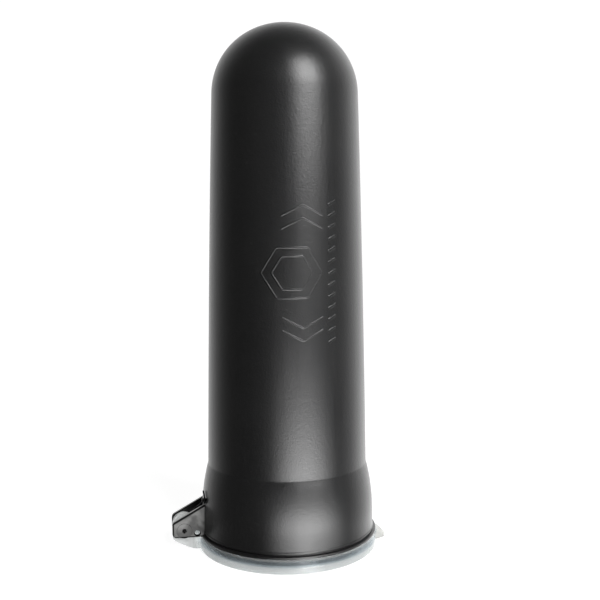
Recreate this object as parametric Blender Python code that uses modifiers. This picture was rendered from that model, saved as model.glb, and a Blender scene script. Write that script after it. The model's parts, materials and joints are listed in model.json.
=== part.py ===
"""Paintball pod: a domed, tapered tube that stands on its closed flip lid.

Four pieces: pod_body, lid, hinge_pin and torsion_spring. Metres, +Z up. The origin is the middle of
the lid's outer face, the tube's axis is +Z, the hinge is on -X with its axis along Y, and the thumb
tab is on +X. Sizes are in millimetres and become metres as each piece is built.
"""

import math

import bmesh
import bpy
from mathutils import Matrix, Vector

MM = 0.001

# ---- pod body: tube ----
TOTAL_HEIGHT = 226.4
DOME_HEIGHT = 29.2
DOME_Z = TOTAL_HEIGHT - DOME_HEIGHT
DOME_RADIUS = 31.3  # where the dome starts
MID_RADIUS = 33.45  # half way between the dome and the crease
CREASE_Z = 37.3
CREASE_RADIUS = 34.95
FLARE_RADIUS = 37.9
FLARE_FULL_Z = 15.0  # the flare has its full radius from here down
FLARE_BOTTOM = 10.0
FLARE_FOOT_RADIUS = 38.75
FLARE_FOOT_Z = 7.9
FLANGE_RADIUS = 39.3
FLANGE_TOP, FLANGE_BOTTOM = 7.2, 6.25
NECK_RADIUS = 37.7
LIP_Z = 2.9
MOUTH_RADIUS = 35.9
MOUTH_TOP = 10.0
WALL = 1.8
FLARE_WALL = WALL + 0.1

# Steps along each part of the profile
OUTER_DOME_STEPS, INNER_DOME_STEPS = 11, 8
BARREL_STEPS = 5
OUTER_FLARE_STEPS, INNER_FLARE_STEPS = 5, 4
TURN_SEGMENTS = 48

# ---- hinge ----
PIN_X, PIN_Z = -46.05, 9.35
PIN_PLACE = (PIN_X, 0.0, PIN_Z)
PIN_RADIUS, PIN_LENGTH, PIN_BEVEL = 0.85, 12.2, 0.2
HOLE_CUTTER_LENGTH = 20.0

# ---- pod body: hinge cheeks ----
CHEEK_INNER, CHEEK_OUTER = 4.8, 6.7  # distances from the y = 0 plane
CHEEK_ROOT, CHEEK_END = -36.3, -51.25
CHEEK_BOTTOM = FLANGE_BOTTOM
CHEEK_HOLE, OPEN_HOLE = 1.05, 1.2
OPEN_HOLE_PLACE = (-40.5, 0.0, 8.15)
APEX_X, APEX_Z = -37.0, 20.8
# The cheek's rounded free end: x from CHEEK_END, z from CHEEK_BOTTOM
CHEEK_NOSE = [
    (1.6, 0.0), (0.6, 0.6), (0.1, 1.7), (0.0, 3.1),
    (0.15, 4.95), (0.75, 6.15), (1.7, 6.95), (2.5, 7.5),
]

# ---- lid ----
LID_RADIUS = FLANGE_RADIUS
LID_PLATE = 2.6
SKIRT_INNER, SKIRT_TOP = 38.2, 5.95
PLUG_OUTER, PLUG_INNER, PLUG_TOP = 34.5, 33.5, 4.2
PLUG_TAPER = 0.2
RIM_TOP_EDGE, RIM_BOTTOM_EDGE = 0.2, 0.4  # chamfers

TAB_ROOT_X, TAB_REACH = 38.5, 43.7
TAB_HALF_ROOT, TAB_HALF_END = 6.2, 3.0
TAB_RIM_NARROWING = 0.3  # of the half width, at the lid's rim
TAB_CORNER, TAB_CORNER_STEPS = 0.9, 5
TAB_BOTTOM = 0.05

ARM_HALF, SLOT_HALF = 4.45, 1.9
KNUCKLE, BORE = 5.1, 1.1
KNUCKLE_STEPS = 11
# The hinge arm's outline in (x, z), before and after the arc of its knuckle
ARM_UNDERSIDE = [
    (-38.75, 0.35), (-40.8, 0.3), (-42.6, 0.65), (-44.5, 1.45),
    (-47.3, 2.7), (-49.9, 4.1), (-50.9, 5.4), (-51.15, 7.2),
]
ARM_INBOARD = [
    (-40.9, 10.6), (-40.1, 9.4), (-39.7, 8.2),
    (-39.7, 6.2), (-39.45, 5.65), (-38.75, 5.35),
]

# The slot through the arm is cut by two boxes that meet at WEB_X
WEB_X = PIN_X + 0.8
WEB_TOP = PIN_Z - 2.8
SLOT_TOP, SLOT_BOTTOM = PIN_Z + 8.0, PIN_Z - 10.0
SLOT_INBOARD, SLOT_OUTBOARD = -37.5, PIN_X - 8.0
SLOT_OVERLAP = 0.001

# ---- torsion spring ----
WIRE, COIL_RADIUS, COIL_TURNS, COIL_PITCH = 0.35, 2.0, 3, 0.78
WIRE_GAP = 0.3  # between the wire and the flare
# The pod leg leaves the coil on a tangent that aims at this bend, x and z from the pin
BEND_X, BEND_Z = 7.9, 12.25
LEG_START = math.degrees(
    math.atan2(BEND_Z, BEND_X) + math.acos(COIL_RADIUS / math.hypot(BEND_X, BEND_Z))
)
LEG_END = 270.0 + 360.0 * COIL_TURNS
COIL_WIDTH = (LEG_END - LEG_START) / 360.0 * COIL_PITCH
COIL_STEPS = int((LEG_END - LEG_START) / 30.0) + 1  # steps of at most 30 degrees
HOOK_Y, HOOK_Z, HOOK_RADIUS = -7.3, 23.0, 1.4  # the wire's centre line round the peg
HOOK_START, HOOK_END, HOOK_STEPS = 150, 345, 6  # degrees from +y towards +z
POD_LEG_TIP = (-4.3, 26.0)  # y, z
BELOW_HOOK = (-4.9, 21.75, 0.15)  # y, z, extra distance from the flare
BEND_POINT = (BEND_X - 0.55, -4.0, BEND_Z - 1.25)  # from the pin
TANGENT_SHARE = 0.52  # how far from the coil to the bend the wire stays on the tangent
LID_LEG_END_X = 5.6  # from the pin

PEG_RADIUS, PEG_LENGTH, PEG_END, PEG_SEGMENTS = 0.75, 3.0, 38.5, 16


# ---- outline helpers ----
def spread(first, last, steps):
    """Evenly spaced values, both ends included."""
    return [first + (last - first) * i / steps for i in range(steps + 1)]


def arc(centre, radii, first, last, steps):
    """Points on an arc in a plane; degrees from its first axis towards its second."""
    return [
        (centre[0] + radii[0] * math.cos(a), centre[1] + radii[1] * math.sin(a))
        for a in map(math.radians, spread(first, last, steps))
    ]


def barrel_radius(z):
    """Drafted tube, slightly fuller in the middle: a parabola through three radii."""
    t = (z - CREASE_Z) / (DOME_Z - CREASE_Z)
    return (
        CREASE_RADIUS * (1 - t) * (1 - 2 * t)
        + 4 * MID_RADIUS * t * (1 - t)
        + DOME_RADIUS * t * (2 * t - 1)
    )


def flare_radius(z):
    """Flare between the crease and its full radius: an arc that ends upright."""
    drop, widening = CREASE_Z - FLARE_FULL_Z, FLARE_RADIUS - CREASE_RADIUS
    radius = (drop * drop + widening * widening) / (2 * widening)
    height = z - FLARE_FULL_Z
    return FLARE_RADIUS - radius + math.sqrt(radius * radius - height * height)


# ---- object helpers ----
def add_collection(name):
    made = bpy.data.collections.new(name)
    bpy.context.scene.collection.children.link(made)
    return made


def material(name, colour, roughness, metallic=0.0, transmission=0.0):
    made = bpy.data.materials.new(name)
    made.use_nodes = True
    shader = made.node_tree.nodes["Principled BSDF"]
    shader.inputs["Base Color"].default_value = (*colour, 1.0)
    shader.inputs["Roughness"].default_value = roughness
    shader.inputs["Metallic"].default_value = metallic
    shader.inputs["Transmission Weight"].default_value = transmission
    made.diffuse_color = (*colour, 1.0)
    return made


def add_object(name, frame, finish=None):
    """Turn a bmesh into a piece if it has a finish, or into a hidden cutter if not."""
    mesh = bpy.data.meshes.new(name)
    frame.to_mesh(mesh)
    frame.free()
    made = bpy.data.objects.new(name, mesh)
    if finish:
        parts.objects.link(made)
        mesh.materials.append(finish)
    else:
        cutters.objects.link(made)
        made.hide_render = True
        made.display_type = "WIRE"
    return made


def turned(name, profile, finish):
    """A turned shape: (radius, z) points that start and end on the axis."""
    frame = bmesh.new()
    points = [frame.verts.new((radius * MM, 0.0, z * MM)) for radius, z in profile]
    for pair in zip(points, points[1:]):
        frame.edges.new(pair)
    made = add_object(name, frame, finish)
    screw = made.modifiers.new("Turn", "SCREW")
    screw.axis = "Z"
    screw.angle = math.tau
    screw.steps = screw.render_steps = TURN_SEGMENTS
    screw.use_merge_vertices = True
    screw.merge_threshold = 0.01 * MM
    screw.use_smooth_shade = True
    return made


def extruded(name, points, travel):
    """A cutter: a flat outline of (x, y, z) points, extruded along a vector."""
    frame = bmesh.new()
    face = frame.faces.new([frame.verts.new(Vector(point) * MM) for point in points])
    grown = bmesh.ops.extrude_face_region(frame, geom=[face])
    moved = [v for v in grown["geom"] if isinstance(v, bmesh.types.BMVert)]
    bmesh.ops.translate(frame, verts=moved, vec=Vector(travel) * MM)
    bmesh.ops.recalc_face_normals(frame, faces=frame.faces)
    return add_object(name, frame)


def extruded_along_y(name, points, start_y, end_y):
    ring = [(x, start_y, z) for x, z in points]
    return extruded(name, ring, (0.0, end_y - start_y, 0.0))


def box(name, low, high):
    """A cutter between two corners."""
    low, high = Vector(low) * MM, Vector(high) * MM
    place = Matrix.Translation((low + high) / 2) @ Matrix.Diagonal((*(high - low), 1.0))
    frame = bmesh.new()
    bmesh.ops.create_cube(frame, size=1.0, matrix=place)
    return add_object(name, frame)


def rod(name, radius, length, place, finish=None, segments=24):
    """A cylinder along Y with its origin at its middle."""
    frame = bmesh.new()
    bmesh.ops.create_cone(
        frame,
        cap_ends=True,
        segments=segments,
        radius1=radius * MM,
        radius2=radius * MM,
        depth=length * MM,
        matrix=Matrix.Rotation(math.pi / 2, 4, "X"),
    )
    made = add_object(name, frame, finish)
    made.location = Vector(place) * MM
    return made


def boolean(target, other, operation):
    modifier = target.modifiers.new(f"{operation.title()} {other.name}", "BOOLEAN")
    modifier.operation = operation
    modifier.object = other
    modifier.solver = "EXACT"


# ---- pod body ----
def outer_side():
    """The tube's outside, from the top of the dome down to the lip."""
    dome = arc((0.0, DOME_Z), (DOME_RADIUS, DOME_HEIGHT), 90, 0, OUTER_DOME_STEPS)
    barrel = [(barrel_radius(z), z) for z in spread(DOME_Z, CREASE_Z, BARREL_STEPS)]
    flare = [(flare_radius(z), z) for z in spread(CREASE_Z, FLARE_FULL_Z, OUTER_FLARE_STEPS)]
    return [
        (0.0, TOTAL_HEIGHT),
        *dome[1:-1],
        *barrel,
        *flare[1:],
        (FLARE_RADIUS, FLARE_BOTTOM),
        (FLARE_FOOT_RADIUS, FLARE_FOOT_Z),
        (FLARE_FOOT_RADIUS - 0.3, FLARE_FOOT_Z - 0.4),
        (FLANGE_RADIUS - 0.1, FLANGE_TOP),
        (FLANGE_RADIUS, FLANGE_TOP - 0.2),
        (FLANGE_RADIUS, FLANGE_BOTTOM),
        (NECK_RADIUS, FLANGE_BOTTOM),
        (NECK_RADIUS, LIP_Z + 0.3),
        (NECK_RADIUS - 0.3, LIP_Z),
    ]


def inner_side():
    """The tube's inside, from the lip up to the top of the cavity."""
    flare = [
        (flare_radius(z) - FLARE_WALL, z)
        for z in spread(FLARE_FULL_Z, CREASE_Z, INNER_FLARE_STEPS)
    ]
    barrel = [(barrel_radius(z) - WALL, z) for z in spread(CREASE_Z, DOME_Z, BARREL_STEPS)]
    dome_radii = (DOME_RADIUS - WALL, DOME_HEIGHT - WALL)
    dome = arc((0.0, DOME_Z), dome_radii, 0, 90, INNER_DOME_STEPS)
    return [
        (MOUTH_RADIUS + 0.2, LIP_Z),
        (MOUTH_RADIUS, LIP_Z + 0.2),
        (MOUTH_RADIUS, MOUTH_TOP),
        *flare[:-1],
        *barrel,
        *dome[1:-1],
        (0.0, TOTAL_HEIGHT - WALL),
    ]


def build_pod_body(finish):
    body = turned("pod_body", outer_side() + inner_side(), finish)

    # Flat at the level of the flange's underside, a rounded free end, a slope up to the apex
    cheek_outline = [
        (CHEEK_ROOT, CHEEK_BOTTOM),
        *((CHEEK_END + x, CHEEK_BOTTOM + z) for x, z in CHEEK_NOSE),
        (APEX_X, APEX_Z),
        (CHEEK_ROOT, APEX_Z),
    ]
    for side, name in ((-1, "cheek_front"), (1, "cheek_back")):
        cheek = extruded_along_y(name, cheek_outline, side * CHEEK_INNER, side * CHEEK_OUTER)
        boolean(body, cheek, "UNION")

    # The peg that the spring's pod leg hooks round stands out of the flare along X
    peg_place = (PEG_LENGTH / 2 - PEG_END, HOOK_Y, HOOK_Z)
    peg = rod("spring_peg", PEG_RADIUS, PEG_LENGTH, peg_place, segments=PEG_SEGMENTS)
    peg.rotation_euler = (0.0, 0.0, math.pi / 2)
    boolean(body, peg, "UNION")

    for name, radius, place in (
        ("pin_holes", CHEEK_HOLE, PIN_PLACE),
        ("open_holes", OPEN_HOLE, OPEN_HOLE_PLACE),
    ):
        boolean(body, rod(name, radius, HOLE_CUTTER_LENGTH, place), "DIFFERENCE")


# ---- lid ----
def lid_profile():
    """From the middle of the plate's inner face, over the plug ring and skirt, to the origin."""
    return [
        (0.0, LID_PLATE),
        (PLUG_INNER, LID_PLATE),
        (PLUG_INNER + PLUG_TAPER, PLUG_TOP),
        (PLUG_OUTER - PLUG_TAPER, PLUG_TOP),
        (PLUG_OUTER, LID_PLATE),
        (SKIRT_INNER, LID_PLATE),
        (SKIRT_INNER, SKIRT_TOP),
        (LID_RADIUS - RIM_TOP_EDGE, SKIRT_TOP),
        (LID_RADIUS, SKIRT_TOP - RIM_TOP_EDGE),
        (LID_RADIUS, RIM_BOTTOM_EDGE),
        (LID_RADIUS - RIM_BOTTOM_EDGE, 0.0),
        (0.0, 0.0),
    ]


def tab_outline():
    """The thumb tab in (x, y): narrower outwards, with rounded outer corners."""
    corner_centre = (TAB_REACH - TAB_CORNER, TAB_HALF_END)
    half = [
        (TAB_ROOT_X, TAB_HALF_ROOT),
        (LID_RADIUS, TAB_HALF_ROOT - TAB_RIM_NARROWING),
        *arc(corner_centre, (TAB_CORNER, TAB_CORNER), 90, 0, TAB_CORNER_STEPS),
    ]
    return [(x, -y) for x, y in half] + half[::-1]


def build_lid(finish):
    # The hinge empty sits on the joint's axis, and the lid hangs from it
    hinge = bpy.data.objects.new("lid_hinge", None)
    hinge.empty_display_size = 0.01
    hinge.location = Vector(PIN_PLACE) * MM
    parts.objects.link(hinge)

    lid = turned("lid", lid_profile(), finish)
    lid.parent = hinge
    lid.matrix_parent_inverse = Matrix.Translation(hinge.location).inverted()

    # The underside sweeps up round the knuckle, then the outline drops close past the flange
    knuckle = arc((PIN_X, PIN_Z), (KNUCKLE, KNUCKLE), 180, 25, KNUCKLE_STEPS)
    arm_outline = ARM_UNDERSIDE + knuckle + ARM_INBOARD
    boolean(lid, extruded_along_y("arm", arm_outline, -ARM_HALF, ARM_HALF), "UNION")

    tab_ring = [(x, y, TAB_BOTTOM) for x, y in tab_outline()]
    boolean(lid, extruded("tab", tab_ring, (0.0, 0.0, LID_PLATE - TAB_BOTTOM)), "UNION")

    # Towards the tube the slot stops at the web; on the -X side it goes right through
    slot_back = box(
        "slot_back",
        low=(WEB_X, -SLOT_HALF, WEB_TOP),
        high=(SLOT_INBOARD, SLOT_HALF, SLOT_TOP),
    )
    slot_front = box(
        "slot_front",
        low=(SLOT_OUTBOARD, -SLOT_HALF, SLOT_BOTTOM),
        high=(WEB_X + SLOT_OVERLAP, SLOT_HALF, SLOT_TOP),
    )
    bore = rod("lid_bore", BORE, HOLE_CUTTER_LENGTH, PIN_PLACE)
    for cutter in (slot_back, slot_front, bore):
        boolean(lid, cutter, "DIFFERENCE")


# ---- hinge pin ----
def build_hinge_pin(finish):
    pin = rod("hinge_pin", PIN_RADIUS, PIN_LENGTH, PIN_PLACE, finish)
    edge = pin.modifiers.new("Rounded ends", "BEVEL")
    edge.width = PIN_BEVEL * MM
    edge.segments = 1
    edge.limit_method = "ANGLE"


# ---- torsion spring ----
def on_flare(y, z, extra=0.0):
    """A point of the wire that lies against the flare, from the pin."""
    out = flare_radius(z) + WIRE + WIRE_GAP + extra
    return (-math.sqrt(out * out - y * y) - PIN_X, y, z - PIN_Z)


def spring_points():
    """Pod leg from its tip and hook to the coil, the coil, then the lid leg, from the pin."""
    hook = arc((HOOK_Y, HOOK_Z), (HOOK_RADIUS, HOOK_RADIUS), HOOK_START, HOOK_END, HOOK_STEPS)
    circle = arc((0.0, 0.0), (COIL_RADIUS, COIL_RADIUS), LEG_START, LEG_END, COIL_STEPS)
    half = COIL_WIDTH / 2
    coil = [(x, y, z) for (x, z), y in zip(circle, spread(-half, half, COIL_STEPS))]
    on_tangent = Vector(coil[0]).lerp(Vector((BEND_X, -half, BEND_Z)), TANGENT_SHARE)
    return [
        on_flare(*POD_LEG_TIP),
        *(on_flare(y, z) for y, z in hook),
        on_flare(*BELOW_HOOK),
        BEND_POINT,
        on_tangent,
        *coil,
        (LID_LEG_END_X, half, -COIL_RADIUS),
    ]


def build_torsion_spring(finish):
    curve = bpy.data.curves.new("spring_wire", "CURVE")
    curve.dimensions = "3D"
    curve.bevel_depth = WIRE * MM
    curve.bevel_resolution = 2
    curve.use_fill_caps = True
    curve.materials.append(finish)
    wire = spring_points()
    spline = curve.splines.new("POLY")
    spline.points.add(len(wire) - 1)
    for point, (x, y, z) in zip(spline.points, wire):
        point.co = (x * MM, y * MM, z * MM, 1.0)
    spring = bpy.data.objects.new("torsion_spring", curve)
    spring.location = Vector(PIN_PLACE) * MM
    parts.objects.link(spring)


# ---- scene ----
for old in list(bpy.data.objects):
    bpy.data.objects.remove(old, do_unlink=True)
units = bpy.context.scene.unit_settings
units.system = "METRIC"
units.scale_length = 1.0

parts = add_collection("paintball_pod")
cutters = add_collection("cutters")  # everything the booleans join or cut

black = material("black_plastic", colour=(0.018, 0.018, 0.019), roughness=0.42)
clear = material("clear_plastic", colour=(0.80, 0.84, 0.86), roughness=0.18, transmission=0.6)
steel = material("pin_steel", colour=(0.45, 0.45, 0.46), roughness=0.3, metallic=1.0)
spring_steel = material("spring_steel", colour=(0.30, 0.30, 0.31), roughness=0.35, metallic=1.0)

build_pod_body(black)
build_lid(clear)
build_hinge_pin(steel)
build_torsion_spring(spring_steel)

bpy.context.view_layer.update()
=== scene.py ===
"""Looks of the paintball pod: a black moulded tube that stands upside down on its clear flip lid.

The tube's axis is +Z and the lid's plate lies on z = 0. The hinge is at -X, the lid's thumb tab
at +X, and the camera looks from -Y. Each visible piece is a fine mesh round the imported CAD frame,
with a procedural material. Dimensions are in millimetres, angles in degrees unless a name or a
comment says otherwise; objects are in metres.
"""

import json
import math
from functools import cached_property

import bmesh
import bpy
from mathutils import Matrix, Vector

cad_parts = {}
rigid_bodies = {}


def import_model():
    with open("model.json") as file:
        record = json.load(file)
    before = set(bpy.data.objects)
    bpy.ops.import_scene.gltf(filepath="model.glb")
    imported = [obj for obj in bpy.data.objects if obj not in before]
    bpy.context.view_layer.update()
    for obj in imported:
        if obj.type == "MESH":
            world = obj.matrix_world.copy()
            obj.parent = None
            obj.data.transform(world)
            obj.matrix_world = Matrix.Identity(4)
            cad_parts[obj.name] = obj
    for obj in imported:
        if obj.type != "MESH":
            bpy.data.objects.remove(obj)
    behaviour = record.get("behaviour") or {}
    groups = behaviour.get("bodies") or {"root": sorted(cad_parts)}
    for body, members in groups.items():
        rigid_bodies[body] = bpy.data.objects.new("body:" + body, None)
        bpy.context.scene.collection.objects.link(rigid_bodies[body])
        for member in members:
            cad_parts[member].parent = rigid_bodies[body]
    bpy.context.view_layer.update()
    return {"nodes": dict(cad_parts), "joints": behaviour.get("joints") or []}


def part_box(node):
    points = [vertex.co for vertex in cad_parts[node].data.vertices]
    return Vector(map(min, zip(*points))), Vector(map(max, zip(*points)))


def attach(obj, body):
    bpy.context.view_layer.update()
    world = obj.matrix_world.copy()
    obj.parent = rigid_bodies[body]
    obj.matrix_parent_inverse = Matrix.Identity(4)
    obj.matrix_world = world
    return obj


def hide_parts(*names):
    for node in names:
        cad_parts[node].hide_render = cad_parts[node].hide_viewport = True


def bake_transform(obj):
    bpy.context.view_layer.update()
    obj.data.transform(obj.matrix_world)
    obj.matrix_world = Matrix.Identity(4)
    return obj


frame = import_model()

MM = 0.001
DEGREES = 180 / math.pi
SEGMENTS = 288  # round a turned piece


# -----------------------------------------------------------------------------------------------
# Places and sizes read from the frame
# -----------------------------------------------------------------------------------------------
def box_mm(name):
    return tuple(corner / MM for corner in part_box(name))


body_low, body_high = box_mm("pod_body")
_, lid_high = box_mm("lid")
pin_low, pin_high = box_mm("hinge_pin")
PIN_X, _, PIN_Z = (p / MM for p in frame["joints"][0]["pos_m"])

HEIGHT = body_high.z
FLANGE_RADIUS = body_high.y
LIP_Z = body_low.z
CHEEK_END = body_low.x
LID_RADIUS = lid_high.y
TAB_REACH = lid_high.x
KNUCKLE = lid_high.z - PIN_Z
PIN_RADIUS = (pin_high.z - pin_low.z) / 2
PIN_END = pin_high.y

# -----------------------------------------------------------------------------------------------
# Sizes shared by several pieces or by a piece and its material
# -----------------------------------------------------------------------------------------------
# Tube: a dome over a barrel, a crease, then a flare down to the foot
DOME_HEIGHT, DOME_RADIUS, MID_RADIUS = 29.2, 31.3, 33.45
DOME_Z = HEIGHT - DOME_HEIGHT
CREASE_Z, CREASE_RADIUS = 37.3, 34.95
FLARE_RADIUS, FLARE_FULL_Z = 37.9, 15.0

# Hinge cheeks: two upright plates on the tube's -X side, with sloping tops
CHEEK_BOTTOM, SHOULDER_Z = 6.25, 12.85
APEX_X, APEX_Z = -37.0, 20.8
OPEN_HOLE_X, OPEN_HOLE_Z, OPEN_HOLE = -40.5, 8.15, 1.3

PLATE = 2.6  # height of the lid's plate

# Spring hook and the peg it catches, on the flare
HOOK_Y, HOOK_Z = -7.3, 23.0

pieces = bpy.data.collections.new("pod_looks")
helpers = bpy.data.collections.new("helpers")
stage = bpy.context.scene.collection
stage.children.link(pieces)
stage.children.link(helpers)


# -----------------------------------------------------------------------------------------------
# Outlines
# -----------------------------------------------------------------------------------------------
def rounded(corners, steps):
    """A polyline whose corners are (x, y, radius): each corner with a radius becomes an arc."""
    points = []
    for i, (x, y, radius) in enumerate(corners):
        if radius <= 0 or i in (0, len(corners) - 1):
            points.append((x, y))
            continue
        here = Vector((x, y))
        before = Vector(corners[i - 1][:2]) - here
        after = Vector(corners[i + 1][:2]) - here
        angle = before.angle(after)
        # The arc may use at most 0.49 of either side, so that neighbouring arcs never meet.
        reach = radius / math.tan(angle / 2)
        reach = min(reach, before.length * 0.49, after.length * 0.49)
        radius = reach * math.tan(angle / 2)
        start = here + before.normalized() * reach
        end = here + after.normalized() * reach
        inward = (before.normalized() + after.normalized()).normalized()
        middle = here + inward * (radius / math.sin(angle / 2))
        first = start - middle
        sweep = first.angle_signed(end - middle)
        for k in range(steps + 1):
            turned = -sweep * k / steps
            points.append(
                (
                    middle.x + first.x * math.cos(turned) - first.y * math.sin(turned),
                    middle.y + first.x * math.sin(turned) + first.y * math.cos(turned),
                )
            )
    return points


def closed_rounded(corners, steps):
    """The same for a closed outline."""
    return rounded(corners[-1:] + corners + corners[:1], steps)[1:-1]


def stations(start, end, steps):
    """Even values from start to end, both included."""
    return [start + (end - start) * i / steps for i in range(steps + 1)]


# -----------------------------------------------------------------------------------------------
# Meshes
# -----------------------------------------------------------------------------------------------
def make_object(name, data, collection):
    made = bpy.data.objects.new(name, data)
    collection.objects.link(made)
    return made


def make_mesh(name, draft):
    mesh = bpy.data.meshes.new(name)
    draft.to_mesh(mesh)
    draft.free()
    return mesh


def finish_draft(name, draft, collection=helpers):
    """Turns a bmesh into a smooth-shaded object with its normals outward."""
    bmesh.ops.recalc_face_normals(draft, faces=draft.faces)
    for face in draft.faces:
        face.smooth = True
    return make_object(name, make_mesh(name, draft), collection)


def skin(draft, rings):
    """Joins each ring of vertices to the next. A ring of one vertex is a pole."""
    for ring, after in zip(rings, rings[1:]):
        count = max(len(ring), len(after))
        for i in range(count):
            j = (i + 1) % count
            if len(ring) == 1:
                draft.faces.new((ring[0], after[i], after[j]))
            elif len(after) == 1:
                draft.faces.new((ring[i], after[0], ring[j]))
            else:
                draft.faces.new((ring[i], after[i], after[j], ring[j]))


def lathe(name, profile):
    """A turned closed body from (radius, z) points that start and end on the axis."""
    draft = bmesh.new()
    rings = []
    for radius, z in profile:
        ring = []
        for k in range(SEGMENTS if radius > 1e-6 else 1):
            angle = math.tau * k / SEGMENTS
            x, y = radius * MM * math.cos(angle), radius * MM * math.sin(angle)
            ring.append(draft.verts.new((x, y, z * MM)))
        rings.append(ring)
    skin(draft, rings)
    return finish_draft(name, draft, pieces)


def slab(name, outline, start, end, bevel, axis="Y", steps=4):
    """A flat outline extruded between two planes, its rims rounded.

    Axis Y takes (x, z) points, axis Z takes (x, y).
    """
    draft = bmesh.new()
    if axis == "Y":
        ring = [draft.verts.new((x * MM, start * MM, z * MM)) for x, z in outline]
        extrusion = Vector((0, (end - start) * MM, 0))
    else:
        ring = [draft.verts.new((x * MM, y * MM, start * MM)) for x, y in outline]
        extrusion = Vector((0, 0, (end - start) * MM))
    face = draft.faces.new(ring)
    grown = bmesh.ops.extrude_face_region(draft, geom=[face])["geom"]
    moved = [item for item in grown if isinstance(item, bmesh.types.BMVert)]
    bmesh.ops.translate(draft, verts=moved, vec=extrusion)
    bmesh.ops.recalc_face_normals(draft, faces=draft.faces)
    along = extrusion.normalized()
    rims = []
    for edge in draft.edges:
        direction = (edge.verts[0].co - edge.verts[1].co).normalized()
        if abs(direction.dot(along)) < 0.5:
            rims.append(edge)
    bmesh.ops.bevel(
        draft,
        geom=rims,
        offset=bevel * MM,
        offset_type="OFFSET",
        segments=steps,
        profile=0.5,
        affect="EDGES",
    )
    return finish_draft(name, draft)


def rod(name, radius, start, end, centre, axis="Y", bevel=0.0, segments=48, collection=helpers):
    """A round bar along X or Y between two planes. Centre holds the two other coordinates."""
    draft = bmesh.new()
    corners = [(0.0, start, 0), (radius, start, bevel), (radius, end, bevel), (0.0, end, 0)]
    rings = []
    for ring_radius, along in rounded(corners, steps=4):
        ring = []
        for k in range(segments if ring_radius > 1e-6 else 1):
            angle = math.tau * k / segments
            across = centre[0] + ring_radius * math.cos(angle)
            z = centre[1] + ring_radius * math.sin(angle)
            place = (across, along, z) if axis == "Y" else (along, across, z)
            ring.append(draft.verts.new(Vector(place) * MM))
        rings.append(ring)
    skin(draft, rings)
    return finish_draft(name, draft, collection)


def block(name, low, high):
    """A box between two opposite corners."""
    draft = bmesh.new()
    low, high = Vector(low) * MM, Vector(high) * MM
    place = Matrix.Translation((low + high) / 2) @ Matrix.Diagonal((*(high - low), 1))
    bmesh.ops.create_cube(draft, size=1.0, matrix=place)
    return finish_draft(name, draft)


def combine(target, other, operation):
    cut = target.modifiers.new(operation + " " + other.name, "BOOLEAN")
    cut.operation = operation
    cut.solver = "EXACT"
    cut.object = other
    other.hide_render = True
    other.hide_viewport = True


def settle(target, sharp=32.0):
    """Applies the modifiers, cleans the mesh and shades it smooth.

    Edges over `sharp` degrees stay sharp.
    """
    bpy.context.view_layer.update()
    graph = bpy.context.evaluated_depsgraph_get()
    mesh = bpy.data.meshes.new_from_object(target.evaluated_get(graph))
    target.modifiers.clear()
    target.data = mesh
    draft = bmesh.new()
    draft.from_mesh(mesh)
    bmesh.ops.remove_doubles(draft, verts=draft.verts, dist=2e-6)
    bmesh.ops.dissolve_degenerate(draft, dist=1e-6, edges=draft.edges)
    for face in draft.faces:
        face.smooth = True
    draft.to_mesh(mesh)
    draft.free()
    mesh.set_sharp_from_angle(angle=math.radians(sharp))
    mesh.update()


# -----------------------------------------------------------------------------------------------
# Tube profile
# -----------------------------------------------------------------------------------------------
WALL = 1.8
FLARE_EXTRA = 0.1  # the flare's wall is this much thicker
CREASE_BAND = 0.35  # half the height of the crease
CREASE_RISE = 0.012  # how far the crease stands out
FOOT_RADIUS, GROOVE = 38.2, 0.55
FLANGE_TOP, FLANGE_BOTTOM, NECK_RADIUS = 7.2, 6.25, 37.7
MOUTH_RADIUS = 35.9
INNER_FLARE = FLARE_RADIUS - WALL - FLARE_EXTRA

# Slope of the barrel where it meets the dome
TOP_SLOPE = (CREASE_RADIUS - 4 * MID_RADIUS + 3 * DOME_RADIUS) / (DOME_Z - CREASE_Z)


def barrel_radius(z):
    """A parabola through the radii at the crease, half-way up and at the dome's foot."""
    t = (z - CREASE_Z) / (DOME_Z - CREASE_Z)
    at_crease = CREASE_RADIUS * (1 - t) * (1 - 2 * t)
    return at_crease + 4 * MID_RADIUS * t * (1 - t) + DOME_RADIUS * t * (2 * t - 1)


def flare_radius(z):
    """An arc, upright at FLARE_FULL_Z, that ends at the crease."""
    drop, rise = CREASE_Z - FLARE_FULL_Z, FLARE_RADIUS - CREASE_RADIUS
    arc_radius = (drop * drop + rise * rise) / (2 * rise)
    above = max(0.0, z - FLARE_FULL_Z)
    return FLARE_RADIUS - arc_radius + math.sqrt(arc_radius * arc_radius - above * above)


def dome_radius(above):
    """Radius at a height above the dome's foot. It starts with the barrel's own slope."""
    t = min(1.0, above / DOME_HEIGHT)
    return DOME_RADIUS * math.sqrt(1 - t * t) + TOP_SLOPE * above * (1 - t) ** 2


def outside_radius(z):
    if z > DOME_Z:
        return dome_radius(z - DOME_Z)
    return barrel_radius(z) if z > CREASE_Z else flare_radius(z)


def outer_profile():
    """(radius, z) from the top of the dome down to the foot."""
    points = [(0.0, HEIGHT)]
    steps = 44
    for i in range(1, steps + 1):
        above = DOME_HEIGHT * math.sin(math.radians(90 * (1 - i / steps)))
        points.append((dome_radius(above), DOME_Z + above))
    barrel_foot = CREASE_Z + CREASE_BAND
    points += [(barrel_radius(z), z) for z in stations(DOME_Z, barrel_foot, 64)[1:-1]]
    points.append((barrel_radius(barrel_foot), barrel_foot))
    points.append((CREASE_RADIUS + CREASE_RISE, CREASE_Z))
    flare_top = CREASE_Z - CREASE_BAND
    points += [(flare_radius(z), z) for z in stations(flare_top, FLARE_FULL_Z, 26)]
    points.append((FLARE_RADIUS, 12.5))
    return points


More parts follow.
